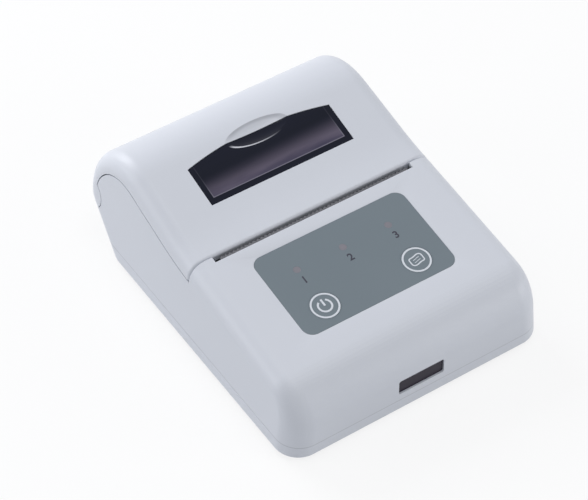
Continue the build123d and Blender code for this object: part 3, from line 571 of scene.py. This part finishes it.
# Works frame, lugs and brackets: black glass filled nylon, dull, with pale flow marks.
# The paper sensor and the charge jack are black too; the bay is smooth grey ABS, clipped into the case.
black = Finish("frame_black", (0.03, 0.03, 0.033), 0.55)
speck = black.noise(1400.0, 4.0)
marks = black.noise(120.0, 4.0, stretch=(0.3, 1.0, 1.0))
black.feed(
    Base_Color=black.mix(marks.over(0.55, 0.25) * 0.6, (0.020, 0.020, 0.023, 1), (0.048, 0.048, 0.053, 1)),
    Roughness=0.48 + 0.2 * speck,
    Normal=black.bump(speck, 0.12, 0.00006),
)
for name in ("works_frame", "platen_brackets", "hinge_lugs", "paper_sensor", "charge_jack"):
    give(name, black)
shade = Finish("bay_grey", (0.13, 0.125, 0.145), 0.5)
bay_grain = shade.noise(1800.0, 3.0)
shade.feed(
    Base_Color=shade.mix(shade.noise(40.0, 3.0), (0.115, 0.11, 0.13, 1), (0.15, 0.145, 0.165, 1)),
    Roughness=0.44 + 0.18 * bay_grain,
    Normal=shade.bump(bay_grain, 0.12, 0.00006),
)
give("paper_bay", shade)

# Print head: a glazed ceramic plate with one dark line of heater dots across it.
# It is bonded to an aluminium sink, sawn from a ribbed extrusion.
heater_height = 0.0204
ceramic = Finish("head_ceramic", (0.74, 0.71, 0.65), 0.28, Coat_Weight=0.5, Coat_Roughness=0.1)
_, _, up = ceramic.axes()
heater = 1 - abs(up - heater_height).over(0.0004, 0.00008)
glaze = ceramic.mix(ceramic.noise(200.0), (0.68, 0.65, 0.58, 1), (0.78, 0.75, 0.69, 1))
ceramic.feed(
    Base_Color=ceramic.mix(heater, glaze, (0.10, 0.07, 0.05, 1)),
    Roughness=0.22 + 0.12 * ceramic.noise(700.0),
)
give("print_head", ceramic)
sink = Finish("sink_aluminium", (0.66, 0.665, 0.68), 0.4, Metallic=1.0)
drawn = sink.noise(1500.0, 3.0, stretch=(0.03, 1.0, 1.0))
sink.feed(
    Base_Color=sink.mix(drawn, (0.55, 0.555, 0.57, 1), (0.74, 0.745, 0.76, 1)),
    Roughness=0.3 + 0.2 * drawn,
    Normal=sink.bump(drawn, 0.15, 0.00005),
)
give("heat_sink", sink)

# Circuit board: glass epoxy under green solder mask, with raised copper runs and tinned pads.
# Its chips are moulded black epoxy with a fine sandy face, soldered to it.
black_ink, white_mark = (0, 0, 0, 1), (1, 1, 1, 1)
green = Finish("board_mask", (0.02, 0.16, 0.07), 0.35, Coat_Weight=0.4)
runs = green.node(
    "ShaderNodeTexBrick", {"offset": 0.37, "squash": 0.6}, output="Fac", Vector=green.place(),
    Color1=black_ink, Color2=black_ink, Mortar=white_mark, Scale=260.0, Mortar_Size=0.06,
)
pads = green.node("ShaderNodeTexVoronoi", {}, Vector=green.place(), Scale=330.0, output="Distance")
pads = 1 - pads.over(0.16, 0.03)
mask = green.mix(runs, (0.012, 0.10, 0.045, 1), (0.03, 0.20, 0.09, 1))
green.feed(
    Base_Color=green.mix(pads, mask, (0.62, 0.62, 0.60, 1)),
    Roughness=0.34 - 0.1 * pads,
    Normal=green.bump(runs + pads, 0.3, 0.00004),
)
give("main_board", green)
epoxy = Finish("chip_epoxy", (0.022, 0.022, 0.024), 0.6)
sand = epoxy.noise(3200.0)
epoxy.feed(
    Base_Color=epoxy.mix(sand, (0.016, 0.016, 0.018, 1), (0.034, 0.034, 0.037, 1)),
    Normal=epoxy.bump(sand, 0.15, 0.00003),
)
give("board_chips", epoxy)

# Battery: two flat lithium cells in one sleeve of blue film, shrunk on with heat.
# The film is a little wrinkled where it gathers.
wrap = Finish("battery_wrap", (0.03, 0.09, 0.24), 0.28, Coat_Weight=0.6, Coat_Roughness=0.15)
wrinkle = wrap.noise(160.0, 4.0, stretch=(0.4, 1.6, 1.0))
wrap.feed(
    Base_Color=wrap.mix(wrinkle, (0.022, 0.07, 0.20, 1), (0.042, 0.115, 0.29, 1)),
    Roughness=0.22 + 0.16 * wrinkle,
    Normal=wrap.bump(wrinkle, 0.3, 0.0002),
)
give("battery_pack", wrap)

# Feet: four pads of soft grey rubber, self adhesive.
# They are pressed into shallow seats under the tray.
pad = Finish("foot_rubber", (0.06, 0.06, 0.065), 0.8, Sheen_Weight=0.2)
tread = pad.noise(1100.0, 3.0)
pad.feed(
    Base_Color=pad.mix(tread, (0.045, 0.045, 0.05, 1), (0.085, 0.085, 0.09, 1)),
    Roughness=0.72 + 0.18 * tread,
    Normal=pad.bump(tread, 0.2, 0.00006),
)
give("feet", pad)
